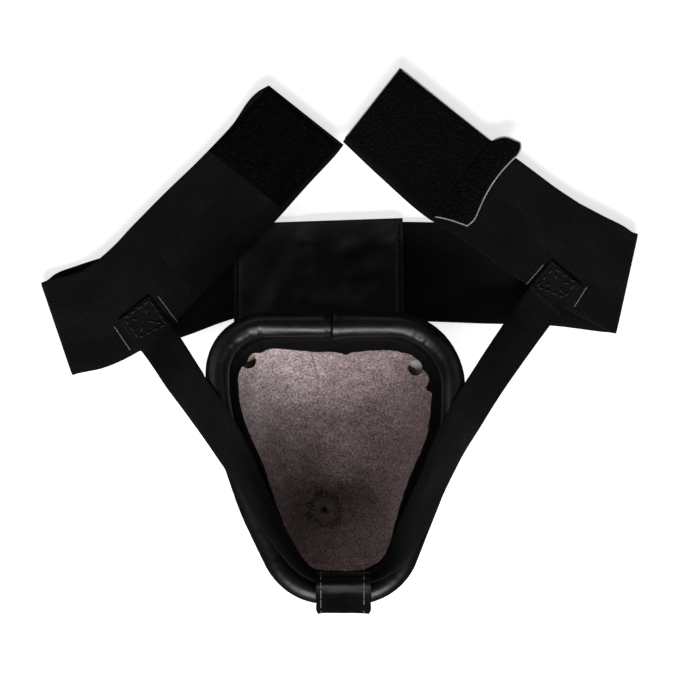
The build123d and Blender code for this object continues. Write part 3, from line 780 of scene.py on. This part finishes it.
def strap_rows(count):
    """Outer edge, middle and inner edge of the strap, evenly along it."""
    places = [place for place, across in STRAP_PATH]
    sections = np.array([across for place, across in STRAP_PATH], float)
    path = smooth_through(places, 1200)
    run = run_along(path)
    at = [run[np.argmin(np.linalg.norm(path - place, axis=1))] for place in places]
    even = np.linspace(0, run[-1], count)
    center = np.stack([np.interp(even, run, path[:, k]) for k in (0, 1)], axis=1)
    travel = unit(np.gradient(center, axis=0))
    inward = np.stack([-travel[:, 1], travel[:, 0]], axis=1)
    window = np.hanning(19) / np.hanning(19).sum()

    def eased(values):
        return np.convolve(np.pad(np.interp(even, at, values), 9, mode="edge"), window, mode="valid")

    rows = np.empty((count, 3, 3))
    for k in range(3):
        rows[:, k, :2] = center + inward * eased(sections[:, k, 0])[:, None]
        rows[:, k, 2] = eased(sections[:, k, 1])
    return rows


def cross_curve(points, count):
    """Points across the strap: a smooth bend through its outer edge, middle and inner edge."""
    outer, middle, inner = (np.asarray(points)[:, k] for k in range(3))
    v = np.linspace(0, 1, count)[None, :, None]
    return (outer[:, None] * (2 * v - 1) * (v - 1) + middle[:, None] * 4 * v * (1 - v)
            + inner[:, None] * v * (2 * v - 1))


def clear_of_roll(grid, room):
    """Push points out of the rim roll, so that the strap drapes over it."""
    out = grid.copy()
    flat = out.reshape(-1, 3)
    for n, point in enumerate(flat):
        away = np.hypot(RIM[:, 0] - point[0], RIM[:, 1] - point[1])
        i = int(np.argmin(away))
        if away[i] > ROLL_RADIUS + room:
            continue
        d = (point[:2] - RIM[i]) @ RIM_INWARD[i]
        rise = point[2] - ROLL_LEVEL
        far = math.hypot(d, rise)
        if far < ROLL_RADIUS + room and rise > -6:
            grow = (ROLL_RADIUS + room) / max(far, 1e-6) - 1
            flat[n, :2] += RIM_INWARD[i] * d * grow
            flat[n, 2] += rise * grow
    return flat.reshape(grid.shape)


STRAP_WIDTH = 25.0
STRAP_CUT_LEVEL = 24.0


def leg_strap():
    """One narrow elastic, in four lengths: two on the cup's side of each free span, and two on the arms'."""
    steps = 430
    across = 35
    rows = strap_rows(steps)
    grid = clear_of_roll(cross_curve(rows, across), STRAP_THICK / 2 + 0.25)
    grid[..., 2] += lift(grid[..., 0], grid[..., 1]) * (grid[..., 2] < 9.0)
    ridge = np.where(np.arange(across) % 2 == 0, 0.0, 1.0)
    edge = np.sqrt(np.clip(1 - np.abs(np.linspace(-1, 1, across)) ** 20, 0.15, 1))
    half = (STRAP_THICK / 2 - 0.07 + 0.07 * ridge) * edge
    middle = grid[:, across // 2]
    away = np.abs(middle[:, 2] - STRAP_CUT_LEVEL)
    left_cut = int(np.argmin(away[:steps // 2]))
    right_cut = steps // 2 + int(np.argmin(away[steps // 2:]))
    to_anchor, to_landing = 20, 46
    for name, start, end, arm in (("left_strap_anchor", 0, left_cut, "left_arm"),
                                  ("left_strap", left_cut, steps // 2, None),
                                  ("right_strap", steps // 2, right_cut, None),
                                  ("right_strap_anchor", right_cut, steps - 1, "right_arm")):
        piece = ribbon(name, grid[start:end + 1], half, STRAP, STRAP_WIDTH, up=-1, v_offset=float(start))
        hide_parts("leg_strap")
        split, way = (left_cut, 1) if "left" in name else (right_cut, -1)
        if arm:
            anchor = Vector(middle[::way][to_anchor])
            anchor.z = TOP + 1.5
            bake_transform(piece)
        else:
            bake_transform(piece)


# ---- keeper
KEEPER_LEFT, KEEPER_RIGHT = -13.4, 19.0
KEEPER_PATH = [(-149.6, 37.0), (-156.0, 36.6), (-159.9, 38.8), (-159.4, 43.2), (-157.4, 48.6), (-154.4, 53.8),
               (-150.6, 58.4), (-146.4, 62.0), (-141.6, 63.8), (-138.4, 61.8), (-137.4, 57.0), (-137.1, 48.0),
               (-137.1, 40.9)]


def keeper_loop():
    """Leather loop over the rim and the strap, with cut edges that waver."""
    path = smooth_through(KEEPER_PATH, 90)
    u = np.linspace(0, 1, 33)
    aside = 2 * u - 1
    grid = swept(path, KEEPER_LEFT + (KEEPER_RIGHT - KEEPER_LEFT) * u)
    edge_wave = np.array([noise.noise(Vector((i * 0.12, 3.0, 1.0))) for i in range(len(path))])
    narrow = 1.3 * np.exp(-((path[:, 0] + 160.2) / 1.6) ** 2)
    grid[..., 0] += 0.5 * edge_wave[:, None] * aside**3 - narrow[:, None] * aside
    normal = surface_normals(grid)
    puffed = 0.35 * wobble(grid, 9.0, 6.0) + 0.7 * np.abs(aside) ** 6
    top, bottom = (grid + normal * (puffed[..., None] + half) for half in (0.7, -0.7))
    obj = closed_sheet("keeper_leather", top, bottom, KEEPER)
    raw_sides(obj)
    ride(obj, "black_leather", "cup", "keeper_loop")
    return obj


def raw_sides(obj):
    """Give the thin faces that look sideways the material of a raw edge."""
    obj.data.materials.append(RAW_EDGE)
    for face in obj.data.polygons:
        if abs(face.normal.x) > 0.8 and face.area < 3.0 * MM * MM:
            face.material_index = 1


# ---- sleeve and tongue
SLEEVE_LEFT, SLEEVE_RIGHT = -63.0, 38.2
SLEEVE_BOTTOM, SLEEVE_HEIGHT = 11.0, 63.0
# soft wrinkles: both ends, height and width
SLEEVE_CREASES = [((-44, 63), (-22, 66), 1.0, 5.5), ((-22, 66), (6, 55), 1.0, 6.5),
                  ((6, 55), (33, 66), 1.1, 6.0), ((-36, 28), (-22, 26), 0.6, 5.0),
                  ((8, 40), (26, 44), 0.8, 5.5), ((-12, 24), (12, 22), 0.7, 5.0),
                  ((-48, 52), (-42, 32), 0.5, 6.0)]
# soft dents: place, depth and width
SLEEVE_DIMPLES = [(-20.4, 56.7, 0.7, 4.4), (-20.4, 44.7, 0.9, 4.8), (1.8, 34.5, 1.0, 5.2),
                  (15.6, 35.7, 0.9, 5.0), (-30.0, 27.9, 0.7, 5.4)]


def crease_height(x, y):
    """Height of the sleeve's soft wrinkles and dimples over its front."""
    height = np.zeros_like(x)
    for (x0, y0), (x1, y1), tall, wide in SLEEVE_CREASES:
        run = np.hypot(x1 - x0, y1 - y0)
        f = np.clip(((x - x0) * (x1 - x0) + (y - y0) * (y1 - y0)) / run**2, 0, 1)
        away = np.hypot(x - x0 - f * (x1 - x0), y - y0 - f * (y1 - y0))
        height += 1.35 * tall * np.exp(-(away / wide) ** 2)
    for x0, y0, deep, wide in SLEEVE_DIMPLES:
        height -= 0.9 * deep * np.exp(-((x - x0) ** 2 + (y - y0) ** 2) / wide**2)
    return height


def belt_sleeve():
    """Leather folded over the band's top edge and sewn at both sides."""
    path = [(SLEEVE_BOTTOM, 0.65), (20, 0.62), (40, 0.62), (60, 0.62), (71.5, 0.62), (73.9, 1.2), (74.3, 2.2),
            (73.6, 3.2), (71, 3.6), (60, 3.55), (40, 3.55), (20, 3.55), (11.5, 3.5)]
    u = np.linspace(0, 1, 130)
    grid = swept(smooth_through(path, 170), SLEEVE_LEFT + (SLEEVE_RIGHT - SLEEVE_LEFT) * u)
    share = (grid[..., 1] - SLEEVE_BOTTOM) / SLEEVE_HEIGHT
    grid[..., 0] += 1.2 * (1 - share) * u
    grid[..., 1] += share * (-4.2 + 3.4 * u)
    x, y = grid[..., 0], grid[..., 1]
    plan = np.stack([x, y, 0 * x], axis=-1)
    front = smoothstep(2.2, 3.4, grid[..., 2])
    clear = smoothstep(-44, -26, x - 0.6 * (y - 40))
    inside = smoothstep(0, 7, x - SLEEVE_LEFT) * smoothstep(0, 7, SLEEVE_RIGHT + 1 - x)
    puffy = np.maximum(1.15 + crease_height(x, y) + 0.5 * wobble(plan, 15.0, 2.0), 0)
    puffy = np.maximum(puffy + 0.04 * wobble(plan, 5.0, 4.0), 0)
    seam = np.exp(-((x + 60.6) / 1.3) ** 2) + np.exp(-((x - 36.2) / 1.3) ** 2)
    grid[..., 2] += front * (inside * (clear * puffy + 0.15) - 0.34 * seam)
    obj = sheet("sleeve_leather", grid, 0.58, SLEEVE)
    raw_sides(obj)
    ride(obj, "black_leather", "belt", "belt_sleeve")
    return obj


def hinge_tongue():
    """Soft leather from the sleeve to the back of the dome."""
    line = smooth_through([(13.5, 1.9), (8, 1.2), (0, 0.95), (-10, 0.95), (-18, 1.9), (-25, 3.4)], 60)
    grid = swept(line, np.linspace(-50, 30, 60))
    grid[..., 2] += 0.12 * wobble(grid * np.array([1, 1, 0]), 8.0, 5.0)
    obj = sheet("tongue_leather", grid, 0.5, SLEEVE)
    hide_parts("hinge_tongue")
    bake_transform(obj)


# ---- hook and loop
PILE_FOOT = 7.2


def corners_of(node):
    """Plan corners of a tape's underside, in order round it."""
    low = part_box(node)[0][2] + 0.1 * MM
    points = {(round(v.co.x / MM, 2), round(v.co.y / MM, 2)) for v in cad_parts[node].data.vertices
              if v.co.z < low}
    middle = np.mean(list(points), axis=0)
    return np.array(sorted(points, key=lambda p: math.atan2(p[1] - middle[1], p[0] - middle[0])))


def grown(corners, by):
    """Corners moved out from their middle, so that a tape reaches the band's edges."""
    return corners + unit(corners - np.mean(corners, axis=0)) * by


def within(corners, u, v):
    """Plan points of a four-cornered piece, at fractions u across it and v down it."""
    a, b, c, d = corners
    return (a * (1 - u) + b * u) * (1 - v) + (d * (1 - u) + c * u) * v


def scattered(corners, count, margin):
    """Random plan points inside a four-cornered piece."""
    u, v = (margin + (1 - 2 * margin) * rng.random(count)[:, None] for _ in "uv")
    return within(corners, u, v)


def tape_pad(name, corners, material, top, lump, seed):
    """The ground cloth of a tape: thin, with a soft edge that follows the arm."""
    share = np.linspace(0, 1, 60)
    plan = within(corners, share[None, :, None], share[:, None, None])
    base, face = (np.concatenate([plan, np.full((60, 60, 1), level)], axis=-1) for level in (ARM_TOP, top))
    face[..., 2] += lump * wobble(face, 2.6, seed)
    edge = np.ones(60)
    edge[[0, -1]] = 0.35
    edge[[1, -2]] = 0.85
    face[..., 2] = ARM_TOP + (face[..., 2] - ARM_TOP) * np.minimum(edge[:, None], edge)
    base[..., 2] -= 0.35
    return closed_sheet(name, lifted(face), lifted(base), material)


def strands(name, paths, radius, material, sides=3):
    """Many thin bent strands as one mesh. paths is an array (strand, point, 3)."""
    count, points = paths.shape[:2]
    along = unit(np.gradient(paths, axis=1))
    side = unit(np.cross(along, np.array([0.31, 0.22, 0.92])))
    other = np.cross(along, side)
    angles = [2 * math.pi * k / sides for k in range(sides)]
    rings = [paths + (side * math.cos(angle) + other * math.sin(angle)) * radius for angle in angles]
    last = (points - 1) * sides
    one = [*quads(points, sides, wrap_cols=True), range(sides), range(last, last + sides)[::-1]]
    faces = [[i + n * points * sides for i in face] for n in range(count) for face in one]
    return make_object(name, np.stack(rings, axis=2), faces, [material], sharp=80)


def arcs(places, bottom, height, reach, lean, points):
    """Small arches of yarn that stand on a surface at random angles."""
    count = len(places)
    turn = rng.random(count) * 2 * math.pi
    size = 0.55 + 0.9 * rng.random(count)
    t = np.linspace(0, 1, points)
    side = np.stack([np.cos(turn), np.sin(turn)], axis=1)
    cross = np.stack([-side[:, 1], side[:, 0]], axis=1)
    span = (t[None] - 0.5) * reach * size[:, None]
    rise = np.sin(t * math.pi)[None] * height * size[:, None]
    tilt = (rng.random(count)[:, None] - 0.5) * 2 * lean * np.sin(t * math.pi)[None]
    xy = places[:, None] + side[:, None] * span[..., None] + cross[:, None] * tilt[..., None]
    return np.concatenate([xy, (bottom + rise)[..., None]], axis=-1)


def loop_tape():
    """Fuzzy loop tape on the left end."""
    corners = grown(corners_of("loop_tape"), 1.0)
    pad = tape_pad("loop_tape_ground", corners, PILE_BASE, top=7.45, lump=0.25, seed=3.0)
    places = scattered(corners, 5200, 0.055)
    paths = arcs(places, PILE_FOOT, height=0.95, reach=1.7, lean=0.9, points=6)
    yarn = strands("loop_tape_pile", lifted(paths), 0.11, PILE)
    for piece in (pad, yarn):
        ride(piece, "loop_pile", "left_end", "loop_tape")


def hook_paths(places, bottom, direction):
    """Small hooks that stand up and bend over."""
    t = np.linspace(0, 1, 5)
    rise = np.array([0, 0.55, 0.95, 1.05, 0.75])
    bend = np.array([0, 0.02, 0.15, 0.45, 0.62])
    jitter = 0.25 * (rng.random((len(places), 2)) - 0.5)
    flip = np.where(rng.random(len(places)) > 0.5, 1.0, -1.0)
    xy = (places + jitter)[:, None] + direction[None, None] * (bend[None, :] * flip[:, None])[..., None]
    return np.concatenate([xy, np.broadcast_to(bottom + rise, (len(places), len(t)))[..., None]], axis=-1)


def hook_tape():
    """Hook tape on the right end: many small stiff hooks, and a pale cut edge."""
    corners = grown(corners_of("hook_tape"), 1.5)
    pad = tape_pad("hook_tape_ground", corners, HOOK_BASE, top=7.3, lump=0.1, seed=5.0)
    plan = scattered(corners, 2400, 0.03)
    paths = hook_paths(plan, PILE_FOOT, unit(corners[1] - corners[0]))
    hooks = strands("hook_tape_hooks", lifted(paths), 0.17, HOOKS, sides=4)
    sides = sorted(zip(corners, np.roll(corners, -1, axis=0)), key=lambda side: -(side[0] + side[1])[1])
    cords = []
    for start, end in sides[:2]:
        points = start + (end - start) * np.linspace(0.02, 0.97, 40)[:, None]
        points = points + (np.mean(corners, axis=0) - points) * 0.004
        cords.append(np.concatenate([points, np.full((40, 1), PILE_FOOT)], axis=1))
    edge = strands("hook_tape_edge", lifted(cords), 0.32, PALE_EDGE, sides=6)
    for piece in (pad, hooks, edge):
        ride(piece, "hook_tape", "right_end", "hook_tape")


FLAP_EDGE = [(76.8, 69.3), (80.6, 72.6), (83.6, 78.6), (86.6, 85.4), (91.0, 93.2), (97.0, 101.5),
             (103.0, 108.0), (107.6, 112.8), (108.8, 116.6), (108.2, 119.2)]


def flap_surface():
    """Middle surface of the tail: from the crease it rises in a soft wave and comes down at its free edge."""
    crease = smooth_through([(55.4, 75.2), (73.0, 97.5), (91.2, 120.2)], 64)
    free = smooth_through(FLAP_EDGE, 64)
    low = smooth_through([(55.4, 75.2), (65.0, 73.2), (76.8, 69.3)], 30)
    high = smooth_through([(91.2, 120.2), (99.0, 122.4), (108.2, 119.2)], 30)
    u = np.linspace(0, 1, 30)
    v = np.linspace(0, 1, 64)
    ends = within((low[0], low[-1], high[-1], high[0]), u[None, :, None], v[:, None, None])
    plan = ruled(crease, free, u) + ruled(low, high, v).transpose(1, 0, 2) - ends
    wave = 1.9 * np.sin(u * math.pi * 0.95) ** 1.2 * (0.55 + 0.45 * np.sin(v * 5.0))[:, None]
    curl = 2.6 * smoothstep(0.7, 1.0, v)[:, None] * smoothstep(0.35, 1.0, u)
    return np.concatenate([plan, (7.75 + wave + curl + 0.25 * u)[..., None]], axis=-1)


def hook_flap():
    """The hook tape's free tail, with hooks all over and a pale cut edge."""
    grid = flap_surface()
    normal = surface_normals(grid)
    normal *= np.sign(normal[..., 2:3])
    half = 0.38
    cloth = closed_sheet("hook_tail_cloth", grid + normal * half, grid - normal * half, HOOK_BASE)
    rim = np.concatenate([grid[0, 3:], grid[1:, -1], grid[-1, ::-1][1:-3]])
    cord = strands("hook_tail_edge", rim[None] + np.array([0, 0, 0.1]), 0.48, PALE_EDGE, sides=8)
    picks = rng.integers(1, 62, 950), rng.integers(2, 28, 950)
    spots = grid[picks] + normal[picks] * half
    spots[:, :2] += 0.9 * (rng.random((len(spots), 2)) - 0.5)
    paths = hook_paths(spots[:, :2], 0.0, np.array([0.62, 0.78]))
    paths[..., 2] += spots[:, 2:3] - 0.08
    hooks = strands("hook_tail_hooks", paths, 0.17, HOOKS, sides=4)
    for piece in (cloth, cord, hooks):
        ride(piece, "hook_tape", "hook_tail", "hook_flap")


# ---- stitches
def thread_bars(node):
    """Middle and direction of each thread bar of a CAD stitching node, in millimetres."""
    bm = bmesh.new()
    bm.from_mesh(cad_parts[node].data)
    bmesh.ops.remove_doubles(bm, verts=bm.verts, dist=1e-6)
    bars, seen = [], set()
    for vert in bm.verts:
        if vert in seen:
            continue
        group, queue = [], [vert]
        seen.add(vert)
        while queue:
            v = queue.pop()
            group.append(v)
            for edge in v.link_edges:
                other = edge.other_vert(v)
                if other not in seen:
                    seen.add(other)
                    queue.append(other)
        points = np.array([v.co for v in group]) / MM
        middle = points.mean(0)
        axes = np.linalg.svd(points - middle)[2]
        bars.append((middle, axes[0], axes[2]))
    bm.free()
    return bars


def stitches(node, body, material, slot, follow, radius=0.38, length=3.1, course=None):
    """Real thread over each bar: a short bowed strand that dips into the surface at both ends."""
    depsgraph = bpy.context.evaluated_depsgraph_get()
    trees = [BVHTree.FromObject(obj, depsgraph) for obj in follow]
    paths = []
    t = np.linspace(-1, 1, 7)
    for middle, along, up in thread_bars(node):
        if up @ np.array([0, 0, 1]) < 0 and abs(up[2]) > 0.3:
            up = -up
        if course:
            along = np.array(course)
        points = middle + along[None] * (t * length / 2)[:, None]
        for k, point in enumerate(points):
            hits = [tree.ray_cast(Vector((point + up * 12) * MM), Vector(-up), 40 * MM) for tree in trees]
            hits = [hit for hit in hits if hit[0] is not None]
            if hits:
                points[k] = np.array(min(hits, key=lambda hit: hit[3])[0]) / MM
        bow = radius * 0.75 - (0.12 + radius) * np.abs(t) ** 3
        paths.append(points + up[None] * bow[:, None])
    obj = strands(node + "_thread", np.array(paths), radius, material, sides=6)
    ride(obj, slot, body, node)


# ---- camera, light and floor
def studio():
    """Camera straight above, a broad soft key from the chin's side, fill lights, and a white floor."""
    scene = bpy.context.scene
    camera = bpy.data.cameras.new("camera")
    camera.sensor_width = 36
    distance = 3.0
    camera.lens = 36 * distance / 0.42
    camera.clip_end = 20
    eye = bpy.data.objects.new("camera", camera)
    scene.collection.objects.link(eye)
    eye.location = (6.6 * MM, -5.1 * MM, distance)
    scene.camera = eye
    for name, place, target, size, power, color in (
            ("key", (0.0, -1.85, 1.4), (0, -0.05, 0), (2.1, 0.85), 64, (1.0, 0.965, 0.985)),
            ("back", (-0.5, 1.9, 1.5), (0, 0, 0), (2.0, 0.9), 4, (1, 1, 1)),
            ("right", (1.9, 0.5, 1.5), (0, 0, 0), (0.8, 1.6), 2, (0.95, 0.96, 1.0)),
            ("left", (-1.9, 0.2, 1.5), (0, 0, 0), (0.8, 1.6), 5, (1, 1, 1))):
        light = bpy.data.lights.new(name, "AREA")
        light.shape = "RECTANGLE"
        light.size, light.size_y = size
        light.energy = power
        light.color = color
        lamp = bpy.data.objects.new(name, light)
        scene.collection.objects.link(lamp)
        lamp.location = place
        lamp.rotation_euler = (Vector(target) - Vector(place)).to_track_quat("-Z", "Y").to_euler()
    scene.world = bpy.data.worlds.new("world")
    scene.world.use_nodes = True
    sky = scene.world.node_tree.nodes["Background"].inputs
    sky["Color"].default_value = (0.93, 0.95, 1.0, 1)
    sky["Strength"].default_value = 0.02
    bpy.ops.mesh.primitive_plane_add(size=12, location=(0, 0, -0.0004))
    floor = bpy.context.object
    floor.name = "floor"
    look = Look("floor", 0.93, 0.8, 0.1)
    look.fill(look.shader, {"Emission Color": (1, 1, 1, 1), "Emission Strength": 0.7})
    floor.data.materials.append(look.mat)
    floor.visible_glossy = False
    scene.view_settings.view_transform = "Standard"
    scene.view_settings.look = "None"


# ---- build
studio()
for node, mat in (("hard_shell", SHELL_PAINT), ("shell_padding", FOAM), ("rim_foam", FOAM)):
    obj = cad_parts[node]
    obj.data.materials.clear()
    obj.data.materials.append(mat)
waist_band()
sleeve = belt_sleeve()
hinge_tongue()
outer_cover()
suede_lining()
rim_roll()
inner_strip()
leg_strap()
keeper = keeper_loop()
loop_tape()
hook_tape()
hook_flap()

LEFT_TACKS = dict(radius=0.17, length=2.1, course=(0.63, -0.77, 0))
RIGHT_TACKS = dict(radius=0.17, length=2.1, course=(0.59, 0.81, 0))
straps = [bpy.data.objects[name] for name in ("left_strap_anchor", "right_strap_anchor")]
bands = [bpy.data.objects[name] for name in ("left_band", "right_band", "left_band_tip", "right_band_tip")]
loop_ground = [bpy.data.objects["loop_tape_ground"]]
hook_ground = [bpy.data.objects["hook_tape_ground"]]
for node, body, material, slot, follow, sizes in (
        ("sleeve_stitching", "belt", TAPE_THREAD, "dark_thread", [sleeve], {}),
        ("left_anchor_stitching", "left_arm", THREAD, "dark_thread", straps, dict(radius=0.5)),
        ("right_anchor_stitching", "right_arm", THREAD, "dark_thread", straps, dict(radius=0.5)),
        ("left_bar_tacks", "left_arm", PALE_THREAD, "pale_thread", bands + straps, LEFT_TACKS),
        ("right_bar_tacks", "right_arm", PALE_THREAD, "pale_thread", bands + straps, RIGHT_TACKS),
        ("keeper_stitching", "cup", KEEPER_THREAD, "dark_thread", [keeper], dict(radius=0.3)),
        ("loop_tape_stitching", "left_end", TAPE_THREAD, "dark_thread", loop_ground, {}),
        ("hook_tape_stitching", "right_end", TAPE_THREAD, "dark_thread", hook_ground, {})):
    stitches(node, body, material, slot, follow, **sizes)
